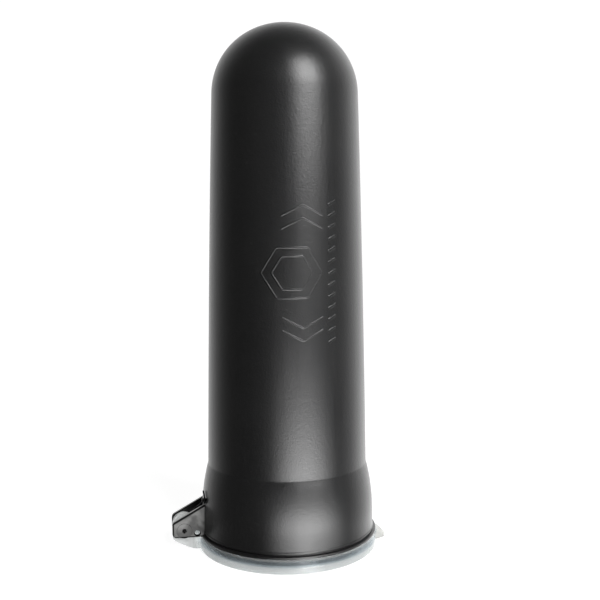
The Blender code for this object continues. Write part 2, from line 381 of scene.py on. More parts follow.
def foot_profile():
    """A small cove out to the foot's rim, a narrow groove, the flange, the neck and the mouth."""
    corners = [  # radius, z, rounding
        (FLARE_RADIUS, 12.5, 2.0),
        (FLARE_RADIUS + 0.12, 9.0, 0.8),
        (FOOT_RADIUS - 0.01, 8.6, 0.5),
        (FOOT_RADIUS, 7.78, 0.2),
        (FOOT_RADIUS - GROOVE, 7.72, 0.1),
        (FOOT_RADIUS - GROOVE, 7.32, 0.1),
        (FLANGE_RADIUS, FLANGE_TOP, 0.22),
        (FLANGE_RADIUS, FLANGE_BOTTOM, 0.15),
        (NECK_RADIUS, FLANGE_BOTTOM, 0.12),
        (NECK_RADIUS, LIP_Z, 0.4),
        (MOUTH_RADIUS, LIP_Z, 0.3),
        (MOUTH_RADIUS, 10.5, 2.0),
        (INNER_FLARE, 14.0, 1.0),
        (INNER_FLARE, FLARE_FULL_Z, 0),
    ]
    return rounded(corners, steps=5)[1:]


def inner_profile():
    """(radius, z) of the inside, from the flare up to the top of the dome."""
    points = []
    for z in stations(FLARE_FULL_Z, CREASE_Z, 12)[1:-1]:
        points.append((flare_radius(z) - WALL - FLARE_EXTRA, z))
    points += [(barrel_radius(z) - WALL, z) for z in stations(CREASE_Z, DOME_Z, 16)]
    steps = 20
    for i in range(1, steps):
        angle = math.radians(90 * i / steps)
        radius = (DOME_RADIUS - WALL) * math.cos(angle)
        points.append((radius, DOME_Z + (DOME_HEIGHT - WALL) * math.sin(angle)))
    points.append((0.0, HEIGHT - WALL))
    return points


# -----------------------------------------------------------------------------------------------
# Plain raised motif on the tube's front: two hexagons, four chevrons and a column of dashes
# -----------------------------------------------------------------------------------------------
# Lengths along the tube's surface (x) run to +X from the foremost line.
BEAD_WIDTH, BEAD_HEIGHT = 0.85, 0.10
BEAD_SINK = 0.35  # depth of a bead's root inside the wall
BEAD_STEP = 0.7  # longest step along a path

HEXAGON_X, HEXAGON_Z = -2.2, 122.6
HEXAGON_RADII, HEXAGON_SQUASH, HEXAGON_ROUNDING = (13.0, 8.6), 0.9, 1.4

CHEVRON_X, CHEVRON_HALF, CHEVRON_RISE, CHEVRON_ROUNDING = 2.2, 8.6, 4.2, 0.9
CHEVRON_GAP = 5.2
CHEVRON_BASES = ((1, 140.3), (-1, 104.4))  # which way the tip points, z of the nearer pair member

DASH_COUNT, DASH_Z, DASH_PITCH = 13, 94.5, 4.65
DASH_START, DASH_END = (13.4, -0.7), (16.9, 0.9)  # x, z from the dash's own height
DASH_WIDTH, DASH_HEIGHT = 1.1, 0.13

# Bead section: share of the width, share of the height (-1 is the sunk root)
BEAD_SECTION = (
    (-0.5, -1.0), (-0.5, 0.0), (-0.36, 0.62), (-0.14, 0.95),
    (0.14, 0.95), (0.36, 0.62), (0.5, 0.0), (0.5, -1.0),
)  # fmt: skip

# Part of the tube that holds the motif
MOTIF_X, MOTIF_Z = (-20, 24), (80, 165)


def resample(points, closed):
    """Points along a path no further apart than BEAD_STEP, corners kept."""
    path = []
    count = len(points)
    for i in range(count if closed else count - 1):
        start, end = Vector(points[i]), Vector(points[(i + 1) % count])
        steps = max(1, math.ceil((end - start).length / BEAD_STEP))
        path += [start + (end - start) * k / steps for k in range(steps)]
    if not closed:
        path.append(Vector(points[-1]))
    return path


def bead_sections(draft, path, closed, width, height):
    """The rings of vertices across a bead, with mitred corners."""
    count = len(path)
    sections = []
    for i, here in enumerate(path):
        before = path[i - 1] if closed or i > 0 else None
        after = path[(i + 1) % count] if closed or i < count - 1 else None
        into = (here - before if before is not None else after - here).normalized()
        out = (after - here).normalized() if after is not None else into
        along = (into + out).normalized()
        side = Vector((-along.y, along.x)) / max(0.5, math.cos(into.angle(out) / 2))
        section = []
        for across, lift in BEAD_SECTION:
            flat = here + side * (across * width)
            base = outside_radius(flat.y)
            radius = base + lift * (height if lift >= 0 else BEAD_SINK)
            angle = flat.x / base
            x, y = radius * MM * math.sin(angle), -radius * MM * math.cos(angle)
            section.append(draft.verts.new((x, y, flat.y * MM)))
        sections.append(section)
    return sections


def bead(draft, points, closed, width=BEAD_WIDTH, height=BEAD_HEIGHT):
    """A low rounded bead along (surface length, z) points on the tube. It is one closed body."""
    sections = bead_sections(draft, resample(points, closed), closed, width, height)
    pairs = list(zip(sections, sections[1:]))
    if closed:
        pairs.append((sections[-1], sections[0]))
    size = len(BEAD_SECTION)
    for section, following in pairs:
        for i in range(size):
            j = (i + 1) % size
            draft.faces.new((section[i], section[j], following[j], following[i]))
    if not closed:
        draft.faces.new(sections[0])
        draft.faces.new(sections[-1][::-1])


def motif():
    draft = bmesh.new()
    for radius in HEXAGON_RADII:
        corners = []
        for k in range(6):
            angle = math.radians(60 * k)
            x = HEXAGON_X + radius * math.cos(angle)
            z = HEXAGON_Z + radius * HEXAGON_SQUASH * math.sin(angle)
            corners.append((x, z, HEXAGON_ROUNDING))
        bead(draft, closed_rounded(corners, steps=5), closed=True)
    for sign, base in CHEVRON_BASES:
        for lift in (0.0, CHEVRON_GAP):
            z = base + sign * lift
            corners = [
                (CHEVRON_X - CHEVRON_HALF, z, 0),
                (CHEVRON_X, z + sign * CHEVRON_RISE, CHEVRON_ROUNDING),
                (CHEVRON_X + CHEVRON_HALF, z, 0),
            ]
            bead(draft, rounded(corners, steps=5), closed=False)
    for k in range(DASH_COUNT):
        z = DASH_Z + k * DASH_PITCH
        path = [(x, z + rise) for x, rise in (DASH_START, DASH_END)]
        bead(draft, path, closed=False, width=DASH_WIDTH, height=DASH_HEIGHT)
    return finish_draft("motif", draft)


def crease_motif(target, sharp=14.0):
    """Keeps the foot of each bead sharp, so that the tube beside it shades as one surface."""
    draft = bmesh.new()
    draft.from_mesh(target.data)
    for edge in draft.edges:
        x, y, z = (edge.verts[0].co + edge.verts[1].co) / 2 / MM
        in_motif = MOTIF_Z[0] < z < MOTIF_Z[1] and y < 0 and MOTIF_X[0] < x < MOTIF_X[1]
        if in_motif and len(edge.link_faces) == 2:
            if edge.calc_face_angle(0.0) > math.radians(sharp):
                edge.smooth = False
    draft.to_mesh(target.data)
    draft.free()


# -----------------------------------------------------------------------------------------------
# Pod: the tube with its hinge cheeks, pin bosses, spring peg and motif
# -----------------------------------------------------------------------------------------------
CHEEK_INNER, CHEEK_OUTER, CHEEK_ROOT = 4.8, 6.7, -36.3
CHEEK_HOLE = 1.05
BOSS_RADIUS, BOSS_SINK, BOSS_RISE = 3.3, 0.8, 0.10
PEG_RADIUS, PEG_START, PEG_END = 0.75, 36.4, 38.5
CUTTER = 10  # half-length of the rods that cut the holes


def cheek_outline():
    corners = [  # x, z, rounding
        (CHEEK_ROOT, CHEEK_BOTTOM, 0.0),
        (CHEEK_END, CHEEK_BOTTOM, 1.9),
        (CHEEK_END, SHOULDER_Z, 2.1),
        (APEX_X, APEX_Z, 0.0),
        (CHEEK_ROOT, APEX_Z, 0.0),
    ]
    return rounded(corners, steps=8)


def build_pod():
    pod = lathe("pod_shell", outer_profile() + foot_profile() + inner_profile())
    for side, word in ((-1, "front"), (1, "back")):
        inner, outer = side * CHEEK_INNER, side * CHEEK_OUTER
        cheek = slab("cheek_" + word, cheek_outline(), inner, outer, bevel=0.42)
        combine(pod, cheek, "UNION")
        boss = rod(
            "boss_" + word,
            radius=BOSS_RADIUS,
            start=side * (CHEEK_OUTER - BOSS_SINK),
            end=side * (CHEEK_OUTER + BOSS_RISE),
            centre=(PIN_X, PIN_Z),
            bevel=0.14,
            segments=72,
        )
        combine(pod, boss, "UNION")
    peg = rod(
        "peg",
        radius=PEG_RADIUS,
        start=-PEG_START,
        end=-PEG_END,
        centre=(HOOK_Y, HOOK_Z),
        axis="X",
        bevel=0.25,
        segments=32,
    )
    combine(pod, peg, "UNION")
    combine(pod, motif(), "UNION")
    for name, radius, centre in (
        ("pin_hole", CHEEK_HOLE, (PIN_X, PIN_Z)),
        ("open_hole", OPEN_HOLE, (OPEN_HOLE_X, OPEN_HOLE_Z)),
    ):
        combine(pod, rod(name, radius, -CUTTER, CUTTER, centre), "DIFFERENCE")
    settle(pod)
    crease_motif(pod)
    return pod


# -----------------------------------------------------------------------------------------------
# Lid: a plate with a plug ring and a skirt, the hinge arm at -X and the thumb tab at +X
# -----------------------------------------------------------------------------------------------
SKIRT_INNER, SKIRT_TOP = 38.2, 5.95
PLUG_OUTER, PLUG_INNER, PLUG_TOP = 34.5, 33.5, 4.2
ARM_HALF, SLOT_HALF, BORE = 4.45, 1.9, 1.1
WEB_START, WEB_TOP = 0.8, -2.8  # of the web left under the slot, from the pin's centre
TAB_ROOT, TAB_HALF_ROOT, TAB_HALF_END = 38.4, 6.2, 3.0
TAB_BOTTOM, TAB_TOP = 0.05, 2.4
TAB_SLOPE_START, TAB_SLOPE_LENGTH, TAB_SLOPE_TOP, TAB_DROP = 39.6, 2.9, 4.75, 2.35
RIDGE_BOTTOM, RIDGE_RISE = 1.0, 0.2

# Hinge arm (x, z): its underside out from the skirt, and its inner edge back from the knuckle
ARM_UNDERSIDE = [
    (-38.75, 0.35), (-40.8, 0.3), (-42.6, 0.65), (-44.5, 1.45),
    (-47.3, 2.7), (-49.9, 4.1), (-50.9, 5.4), (-51.15, 7.2),
]  # fmt: skip
ARM_INNER_EDGE = [
    (-40.9, 10.6), (-40.1, 9.4), (-39.7, 8.2), (-39.7, 6.2), (-39.45, 5.65), (-38.75, 5.35),
]  # fmt: skip
KNUCKLE_FIRST, KNUCKLE_LAST, KNUCKLE_STEPS = 180, 25, 27

# Ridge across the tab (x, y, rounding)
RIDGE_OUTLINE = [(41.85, -4.3, 0.2), (42.45, -4.1, 0.2), (42.45, 4.1, 0.2), (41.85, 4.3, 0.2)]


def lid_profile():
    corners = [  # radius, z, rounding
        (0.0, PLATE, 0),
        (PLUG_INNER, PLATE, 0.3),
        (PLUG_INNER + 0.15, PLUG_TOP, 0.3),
        (PLUG_OUTER - 0.15, PLUG_TOP, 0.3),
        (PLUG_OUTER, PLATE, 0.3),
        (SKIRT_INNER, PLATE, 0.25),
        (SKIRT_INNER, SKIRT_TOP, 0.2),
        (LID_RADIUS - 0.22, SKIRT_TOP, 0.28),
        (LID_RADIUS - 0.16, 2.85, 0.12),
        (LID_RADIUS, 2.6, 0.12),
        (LID_RADIUS, 0.0, 0.55),
        (31.6, 0.0, 0.15),
        (31.3, 0.22, 0.15),
        (30.7, 0.22, 0.15),
        (30.4, 0.0, 0.15),
        (1.9, 0.0, 0.1),
        (1.6, 0.35, 0.2),
        (0.0, 0.35, 0),
    ]
    return rounded(corners, steps=5)


def arm_outline():
    knuckle = []
    for degrees in stations(KNUCKLE_FIRST, KNUCKLE_LAST, KNUCKLE_STEPS):
        angle = math.radians(degrees)
        knuckle.append((PIN_X + KNUCKLE * math.cos(angle), PIN_Z + KNUCKLE * math.sin(angle)))
    return ARM_UNDERSIDE + knuckle + ARM_INNER_EDGE


def tab_outline():
    corners = [  # x, y, rounding
        (TAB_ROOT, -TAB_HALF_ROOT, 0.0),
        (LID_RADIUS + 0.5, -TAB_HALF_ROOT + 0.4, 0.6),
        (TAB_REACH, -TAB_HALF_END - 0.6, 0.35),
        (TAB_REACH - 0.35, TAB_HALF_END + 0.8, 0.35),
        (LID_RADIUS + 0.5, TAB_HALF_ROOT - 0.4, 0.6),
        (TAB_ROOT, TAB_HALF_ROOT, 0.0),
    ]
    return closed_rounded(corners, steps=5)


def tab_top(x):
    """The tab's upper face: it slopes down from the skirt and then runs level."""
    t = min(1.0, max(0.0, (x - TAB_SLOPE_START) / TAB_SLOPE_LENGTH))
    return TAB_SLOPE_TOP - TAB_DROP * t * t * (3 - 2 * t)


def tab_slab(name, outline, low, bevel, steps, extra=0.0):
    """A level slab whose top is bent to the tab's upper face, or `extra` above it."""
    made = slab(name, outline, low, TAB_TOP, bevel, axis="Z", steps=steps)
    for vertex in made.data.vertices:
        share = (vertex.co.z / MM - low) / (TAB_TOP - low)
        vertex.co.z = (low + share * (tab_top(vertex.co.x / MM) + extra - low)) * MM
    return made


def build_lid():
    lid = lathe("flip_lid", lid_profile())
    combine(lid, slab("arm", arm_outline(), -ARM_HALF, ARM_HALF, bevel=0.28), "UNION")
    combine(lid, tab_slab("tab", tab_outline(), TAB_BOTTOM, bevel=0.2, steps=4), "UNION")
    ridge = tab_slab(
        "tab_ridge",
        closed_rounded(RIDGE_OUTLINE, steps=4),
        RIDGE_BOTTOM,
        bevel=0.16,
        steps=3,
        extra=RIDGE_RISE,
    )
    combine(lid, ridge, "UNION")
    # The slot between the knuckles: over the web beside the tube, and full depth further out.
    web_x = PIN_X + WEB_START
    slot_top = PIN_Z + 8
    beside_tube = block(
        "slot_back",
        low=(web_x, -SLOT_HALF, PIN_Z + WEB_TOP),
        high=(-37.5, SLOT_HALF, slot_top),
    )
    combine(lid, beside_tube, "DIFFERENCE")
    further_out = block(
        "slot_front",
        low=(PIN_X - 8, -SLOT_HALF, PIN_Z - 10),
        high=(web_x + 0.001, SLOT_HALF, slot_top),
    )
    combine(lid, further_out, "DIFFERENCE")
    combine(lid, rod("lid_bore", BORE, -CUTTER, CUTTER, (PIN_X, PIN_Z)), "DIFFERENCE")
    settle(lid)
    return lid


# -----------------------------------------------------------------------------------------------
# Hinge pin
# -----------------------------------------------------------------------------------------------
def build_pin():
    centre = (PIN_X, PIN_Z)
    pin = rod(
        "steel_pin", PIN_RADIUS, -PIN_END, PIN_END, centre, bevel=0.18, collection=pieces
    )
    settle(pin)
    return pin


# -----------------------------------------------------------------------------------------------
# Torsion spring: a hook round the peg, a leg down to the pin, a coil and a short end
# -----------------------------------------------------------------------------------------------
WIRE, COIL_RADIUS, COIL_TURNS, COIL_PITCH = 0.35, 2.0, 3, 0.78
LEG_BEND = Vector((7.9, 12.25))  # x, z from the pin's centre
HOOK_RADIUS, HOOK_FIRST, HOOK_SWEEP, HOOK_STEPS = 1.4, 60, 195, 12
HOOK_TIP = (-4.3, 26.0)  # y, z of the wire's free end
HOOK_EXIT = (-4.9, 21.75)  # y, z below the hook
EXIT_LIFT = 0.15  # how much further off the flare the wire is there
STAND_OFF = WIRE + 0.3  # of the wire's centre from the flare
BEND_Y, BEND_BACK, BEND_BELOW = -4.0, 0.55, 1.25  # y of the bend; its shift to -X and -Z
LEG_SHARES = (0.52, 0.2)  # places on the straight leg, as shares of the way to the bend
END_REACH = 5.6

LEG_START = math.degrees(
    math.atan2(LEG_BEND[1], LEG_BEND[0]) + math.acos(COIL_RADIUS / math.hypot(*LEG_BEND))
)
LEG_END = 270.0 + 360.0 * COIL_TURNS
COIL_WIDTH = (LEG_END - LEG_START) / 360.0 * COIL_PITCH
COIL_HALF = COIL_WIDTH / 2


def smooth_path(points, steps):
    """A Catmull-Rom path through the points."""
    path = []
    ring = [points[0] * 2 - points[1]] + points + [points[-1] * 2 - points[-2]]
    for before, start, end, after in zip(ring, ring[1:], ring[2:], ring[3:]):
        for k in range(steps):
            t = k / steps
            path.append(
                0.5
                * (
                    2 * start
                    + (end - before) * t
                    + (2 * before - 5 * start + 4 * end - after) * t * t
                    + (3 * start - before - 3 * end + after) * t * t * t
                )
            )
    path.append(points[-1])
    return path


def on_flare(y, z, more=0.0):
    """A place for the wire's centre just off the -X side of the flare."""
    out = flare_radius(z) + STAND_OFF + more
    return Vector((-math.sqrt(out * out - y * y), y, z))


def spring_path():
    leg = [on_flare(*HOOK_TIP)]
    for i in range(HOOK_STEPS + 1):
        angle = math.radians(HOOK_FIRST + HOOK_SWEEP * i / HOOK_STEPS)
        y = HOOK_Y - HOOK_RADIUS * math.sin(angle)
        leg.append(on_flare(y, HOOK_Z + HOOK_RADIUS * math.cos(angle)))
    leg.append(on_flare(*HOOK_EXIT, EXIT_LIFT))
    bend_x, bend_z = LEG_BEND
    leg.append(Vector((PIN_X + bend_x - BEND_BACK, BEND_Y, PIN_Z + bend_z - BEND_BELOW)))
    start = math.radians(LEG_START)
    touch = Vector((COIL_RADIUS * math.cos(start), COIL_RADIUS * math.sin(start)))
    for share in LEG_SHARES:
        place = touch + (LEG_BEND - touch) * share
        leg.append(Vector((PIN_X + place.x, -COIL_HALF, PIN_Z + place.y)))
    path = smooth_path(leg, steps=5)
    count = int((LEG_END - LEG_START) / 10.0)
    for i in range(count + 1):
        angle = math.radians(LEG_START + (LEG_END - LEG_START) * i / count)
        x = PIN_X + COIL_RADIUS * math.cos(angle)
        z = PIN_Z + COIL_RADIUS * math.sin(angle)
        path.append(Vector((x, -COIL_HALF + COIL_WIDTH * i / count, z)))
    path.append(Vector((PIN_X + END_REACH, COIL_HALF, PIN_Z - COIL_RADIUS)))
    return path


def build_spring():
    curve = bpy.data.curves.new("lid_spring_wire", "CURVE")
    curve.dimensions = "3D"
    curve.bevel_depth = WIRE * MM
    curve.bevel_resolution = 4
    curve.use_fill_caps = True
    path = spring_path()
    spline = curve.splines.new("POLY")
    spline.points.add(len(path) - 1)
    for point, place in zip(spline.points, path):
        point.co = (*(place * MM), 1.0)
    wire = make_object("lid_spring_curve", curve, helpers)
    bpy.context.view_layer.update()
    graph = bpy.context.evaluated_depsgraph_get()
    mesh = bpy.data.meshes.new_from_object(wire.evaluated_get(graph))
    bpy.data.objects.remove(wire)
    spring = make_object("lid_spring", mesh, pieces)
    settle(spring, sharp=50.0)
    return spring


pod = build_pod()
lid = build_lid()
pin = build_pin()
spring = build_spring()


# -----------------------------------------------------------------------------------------------
# Node graphs
# -----------------------------------------------------------------------------------------------
class Graph:
    """Short calls for building the nodes of one material or world."""

    def __init__(self, owner, output="OutputMaterial"):
        self.owner = owner
        owner.use_nodes = True
        self.tree = owner.node_tree
        self.tree.nodes.clear()
        self.output = self.node(output)

    @cached_property
    def place(self):
        """The object's own coordinates, in metres."""
        return self.node("TexCoord").outputs["Object"]

    def link(self, source, target):
        self.tree.links.new(source, target)

    def set(self, socket, value):
        if isinstance(value, bpy.types.NodeSocket):
            self.link(value, socket)
        elif value is not None:
            socket.default_value = value

    def node(self, kind, **inputs):
        made = self.tree.nodes.new("ShaderNode" + kind)
        for key, value in inputs.items():
            self.set(made.inputs[key.replace("_", " ")], value)
        return made

    def shader(self, kind, **inputs):
        return self.node(kind, **inputs).outputs[0]

    def separate(self, vector):
        return self.node("SeparateXYZ", Vector=vector).outputs

    def noise(self, scale, detail=3.0, rough=0.55, place=None, distortion=0.0):
        made = self.node(
            "TexNoise",
            Vector=place or self.place,
            Scale=scale,
            Detail=detail,
            Roughness=rough,
            Distortion=distortion,
        )
        return made.outputs["Fac"]

    def stretch(self, scale):
        return self.node("Mapping", Vector=self.place, Scale=scale).outputs["Vector"]

    def span(self, value, start, end, low=0.0, high=1.0, kind="LINEAR"):
        """Maps start..end to low..high, clamped."""
        made = self.node(
            "MapRange", Value=value, From_Min=start, From_Max=end, To_Min=low, To_Max=high
        )
        made.interpolation_type = kind
        return made.outputs["Result"]

    def fade(self, value, start, end, low=0.0, high=1.0):
        """The same with eased ends."""
        return self.span(value, start, end, low, high, kind="SMOOTHSTEP")

    def spread(self, noise, low=0.0, high=1.0):
        """Maps the usual range of a noise to low..high."""
        return self.span(noise, start=0.3, end=0.7, low=low, high=high)

    def math(self, operation, *values):
        made = self.node("Math")
        made.operation = operation
        for socket, value in zip(made.inputs, values):
            self.set(socket, value)
        return made.outputs["Value"]

    def add(self, first, second):
        return self.math("ADD", first, second)

    def subtract(self, first, second):
        return self.math("SUBTRACT", first, second)

    def multiply(self, first, second):
        return self.math("MULTIPLY", first, second)

    def length(self, first, second):
        """Length of a flat vector."""
        squares = self.add(self.multiply(first, first), self.multiply(second, second))
        return self.math("SQRT", squares)

    def mix(self, factor, first, second):
        """Mixes two colours, each a socket or three numbers."""
        made = self.node("Mix")
        made.data_type = "RGBA"
        self.set(made.inputs["Factor"], factor)
        for socket, colour in ((made.inputs[6], first), (made.inputs[7], second)):
            self.set(socket, (*colour, 1.0) if isinstance(colour, tuple) else colour)
        return made.outputs[2]

    def mix_shaders(self, factor, first, second):
        made = self.node("MixShader", Fac=factor)
        self.link(first, made.inputs[1])
        self.link(second, made.inputs[2])
        return made.outputs[0]

    def bump(self, height, strength, distance, normal=None):
        made = self.node(
            "Bump", Strength=strength, Distance=distance, Height=height, Normal=normal
        )
        return made.outputs["Normal"]

    def geometry(self, output):
        return self.node("NewGeometry").outputs[output]

    def surface(self, shader):
        self.link(shader, self.output.inputs["Surface"])
        return self.owner


def material_graph(name):
    return Graph(bpy.data.materials.new(name))


# -----------------------------------------------------------------------------------------------
# Black plastic
# -----------------------------------------------------------------------------------------------
SLOPE_X, SLOPE_Z = -0.487, 0.873  # outward normal of the cheeks' sloping tops


def cheek_masks(mat, x, z, y):
    """Masks for painted light: the cheeks' flat outer faces inside their rims, and their sloping
    tops.
    """

    def over_slope(x, z):
        return mat.add(mat.multiply(x, SLOPE_X), mat.multiply(z, SLOPE_Z))

    normal_x, normal_y, normal_z = mat.separate(mat.geometry("True Normal"))
    outward = mat.multiply(normal_y, mat.math("SIGN", y))
    at_hinge = mat.multiply(
        mat.fade(x, start=-36.9 * MM, end=-37.3 * MM),
        mat.span(z, start=(APEX_Z + 0.2) * MM, end=APEX_Z * MM),
    )
    height_over_slope = over_slope(
        mat.subtract(x, CHEEK_END * MM), mat.subtract(z, SHOULDER_Z * MM)
    )
    inset = mat.multiply(
        mat.fade(height_over_slope, start=-0.70 * MM, end=-0.98 * MM),
        mat.multiply(
            mat.fade(x, start=(CHEEK_END + 0.55) * MM, end=(CHEEK_END + 0.9) * MM),
            mat.fade(z, start=(CHEEK_BOTTOM + 0.5) * MM, end=(CHEEK_BOTTOM + 0.8) * MM),
        ),
    )
    faces = mat.multiply(
        mat.fade(outward, start=0.95, end=0.998), mat.multiply(at_hinge, inset)
    )
    facing_slope = mat.fade(over_slope(normal_x, normal_z), start=0.975, end=0.998)
    return faces, mat.multiply(facing_slope, at_hinge)


# Painted shade: a mask of the open hole's wall and a thin ring round it, which the black plastic
# makes near black and without gloss.
def hole_shade_mask(mat, x, z):
    squares = mat.add(
        mat.math("POWER", mat.subtract(x, OPEN_HOLE_X * MM), 2.0),
        mat.math("POWER", mat.subtract(z, OPEN_HOLE_Z * MM), 2.0),
    )
    distance = mat.math("SQRT", squares)
    return mat.span(distance, start=(OPEN_HOLE + 0.22) * MM, end=(OPEN_HOLE + 0.12) * MM)


def black_plastic():
    mat = material_graph("black_moulded_plastic")
    grain = mat.noise(scale=1500.0, detail=2.0, rough=0.6)
    coarse = mat.noise(scale=620.0, detail=2.0, rough=0.5)
    cloud = mat.noise(scale=28.0, detail=4.0, rough=0.6)
    drawn = mat.noise(scale=60.0, place=mat.stretch((9.0, 9.0, 0.22)))
    specks = mat.fade(mat.noise(scale=520.0, detail=1.0, rough=0.4), start=0.70, end=0.78)
    # Worn convex edges, in patches
    edges = mat.fade(mat.geometry("Pointiness"), start=0.53, end=0.62)
    worn = mat.noise(scale=240.0, detail=4.0, rough=0.7)
    wear = mat.multiply(edges, mat.span(worn, start=0.35, end=0.65, low=0.25))

    # Painted light: the cheeks' flat outer faces and sloping tops get a paler grey that stands in
    # for the light falling on them. The faces' grey varies in patches, and the faces are also
    # duller.
    x, y, z = mat.separate(mat.place)
    faces, tops = cheek_masks(mat, x=x, z=z, y=y)
    patches = mat.noise(scale=120.0, rough=0.6, distortion=0.6)
    painted_face_light = mat.multiply(faces, mat.fade(patches, start=0.38, end=0.62, low=0.45))
    # Painted shade: the open hole is made near black and loses its gloss.
    painted_hole_shade = hole_shade_mask(mat, x, z)

    colour = mat.mix(mat.spread(cloud), (0.0095, 0.0095, 0.0098), (0.0120, 0.0120, 0.0120))
    for mask, tint in (
        (mat.multiply(specks, 0.25), (0.030, 0.030, 0.029)),
        (mat.multiply(wear, 0.35), (0.040, 0.040, 0.040)),
        # painted light: paler grey on the cheeks' outer faces and on their sloping tops
        (painted_face_light, (0.240, 0.240, 0.236)),
        (tops, (0.260, 0.262, 0.255)),
        (painted_hole_shade, (0.002, 0.002, 0.002)),
    ):
        colour = mat.mix(mask, colour, tint)
    rough = mat.spread(cloud, low=0.315, high=0.350)
    rough = mat.add(rough, mat.spread(drawn, low=-0.018, high=0.018))
    rough = mat.add(rough, mat.multiply(wear, 0.08))
    rough = mat.add(rough, mat.multiply(painted_face_light, 0.12))
    normal = mat.bump(coarse, strength=0.7, distance=0.00005)
    normal = mat.bump(grain, strength=0.9, distance=0.00005, normal=normal)
    shader = mat.shader(
        "BsdfPrincipled",
        Base_Color=colour,
        Roughness=rough,
        Normal=normal,
        IOR=1.5,
        Specular_IOR_Level=mat.subtract(0.5, mat.multiply(painted_hole_shade, 0.5)),
    )
    return mat.surface(shader)


# -----------------------------------------------------------------------------------------------
# Clear plastic
# -----------------------------------------------------------------------------------------------
def refracting_part(mat, cloud):
    ripple = mat.noise(scale=340.0, detail=2.0, rough=0.5, place=mat.stretch((1.0, 1.0, 0.12)))
    fine = mat.noise(scale=1500.0, detail=2.0, rough=0.5)
    scuff = mat.fade(mat.noise(scale=300.0, detail=5.0, rough=0.75), start=0.58, end=0.72)
    rough = mat.spread(cloud, low=0.10, high=0.15)
    normal = mat.bump(ripple, strength=0.25, distance=0.00006)
    return mat.shader(
        "BsdfPrincipled",
        Base_Color=mat.mix(cloud, (0.87, 0.90, 0.90), (0.93, 0.95, 0.945)),
        Roughness=mat.add(rough, mat.multiply(scuff, 0.15)),
        Normal=mat.bump(fine, strength=0.12, distance=0.00001, normal=normal),
        Transmission_Weight=1.0,
        IOR=1.46,
    )


def clear_plastic():
    """Cloudy clear plastic: a mix of refracting, plainly see-through and milky."""
    mat = material_graph("clear_moulded_plastic")
    cloud = mat.noise(scale=45.0, rough=0.6)
    glass = refracting_part(mat, cloud)

    # The skirt is greyer and bluer than the plate and the rim at its top.
    x, _, z = mat.separate(mat.place)
    band = mat.multiply(
        mat.fade(z, start=PLATE * MM, end=(PLATE + 0.2) * MM),
        mat.fade(z, start=5.30 * MM, end=5.00 * MM),
    )
    tab = mat.fade(x, start=39.2 * MM, end=39.8 * MM)
    off_arm = mat.fade(x, start=-41.0 * MM, end=-39.5 * MM)
    band = mat.multiply(band, mat.multiply(off_arm, mat.subtract(1.0, tab)))

    clear = mat.mix(cloud, (0.81, 0.84, 0.84), (0.87, 0.89, 0.885))
    clear = mat.mix(tab, mat.mix(band, clear, (0.65, 0.70, 0.73)), (0.88, 0.88, 0.865))
    straight = mat.shader("BsdfTransparent", Color=clear)
    see_through = mat.mix_shaders(0.62, glass, straight)

    pale = mat.mix(cloud, (0.945, 0.955, 0.955), (0.97, 0.975, 0.97))
    pale = mat.mix(tab, mat.mix(band, pale, (0.48, 0.535, 0.57)), (0.72, 0.72, 0.70))
    milk = mat.shader("BsdfTranslucent", Color=pale)
    chalk = mat.shader("BsdfDiffuse", Color=pale)
    soft = mat.mix_shaders(0.5, milk, chalk)

    # Milkier on the hinge arm and on the tab. Upward faces are milkier too: painted light, a paler
    # look for the faces that light falls on from above.
    normal_z = mat.separate(mat.geometry("True Normal"))[2]
    milkiness = mat.spread(cloud, low=0.17, high=0.24)
    milkiness = mat.add(milkiness, mat.fade(normal_z, start=0.5, end=0.9, high=0.16))
    on_arm = mat.fade(x, start=-40.0 * MM, end=-43.0 * MM, high=0.50)
    milkiness = mat.add(milkiness, on_arm)
    milkiness = mat.add(milkiness, mat.multiply(tab, 0.15))
    return mat.surface(mat.mix_shaders(milkiness, see_through, soft))


# -----------------------------------------------------------------------------------------------
# Steel
# -----------------------------------------------------------------------------------------------
def steel(name, colour, dark, rough, stretch):
    """Drawn steel with fine stretched lines and darker, rougher stains."""
    mat = material_graph(name)
    lines = mat.noise(scale=2600.0, rough=0.6, place=mat.stretch(stretch))
    stain = mat.noise(scale=420.0, detail=4.0, rough=0.65)
    line_rough = mat.spread(lines, low=rough - 0.06, high=rough + 0.08)
    shader = mat.shader(
        "BsdfPrincipled",
        Base_Color=mat.mix(mat.fade(stain, start=0.4, end=0.65), colour, dark),
        Roughness=mat.add(line_rough, mat.spread(stain, high=0.1)),
        Normal=mat.bump(lines, strength=0.4, distance=0.00002),
        Metallic=1.0,
    )
    return mat.surface(shader)


# -----------------------------------------------------------------------------------------------
# Materials on the pieces and on their CAD nodes
# -----------------------------------------------------------------------------------------------
black = black_plastic()
clear = clear_plastic()
pin_steel = steel(
    "pin_steel",
    colour=(0.46, 0.46, 0.47),
    dark=(0.20, 0.19, 0.18),
    rough=0.32,
    stretch=(1.0, 0.12, 1.0),
)
# Painted shade: the spring's steel is near black, for the shade its leg lies in along the flare.
painted_shade_wire_steel = steel(
    "spring_steel",
    colour=(0.085, 0.085, 0.088),
    dark=(0.035, 0.034, 0.033),
    rough=0.50,
    stretch=(1.0, 0.5, 1.0),
)


def dress(piece, material, node):
    piece.data.materials.clear()
    piece.data.materials.append(material)
    for polygon in piece.data.polygons:
        polygon.material_index = 0
    for entry in frame["nodes"][node].material_slots:
        entry.material = material


dress(pod, black, node="pod_body")
dress(lid, clear, node="lid")
dress(pin, pin_steel, node="hinge_pin")
dress(spring, painted_shade_wire_steel, node="torsion_spring")

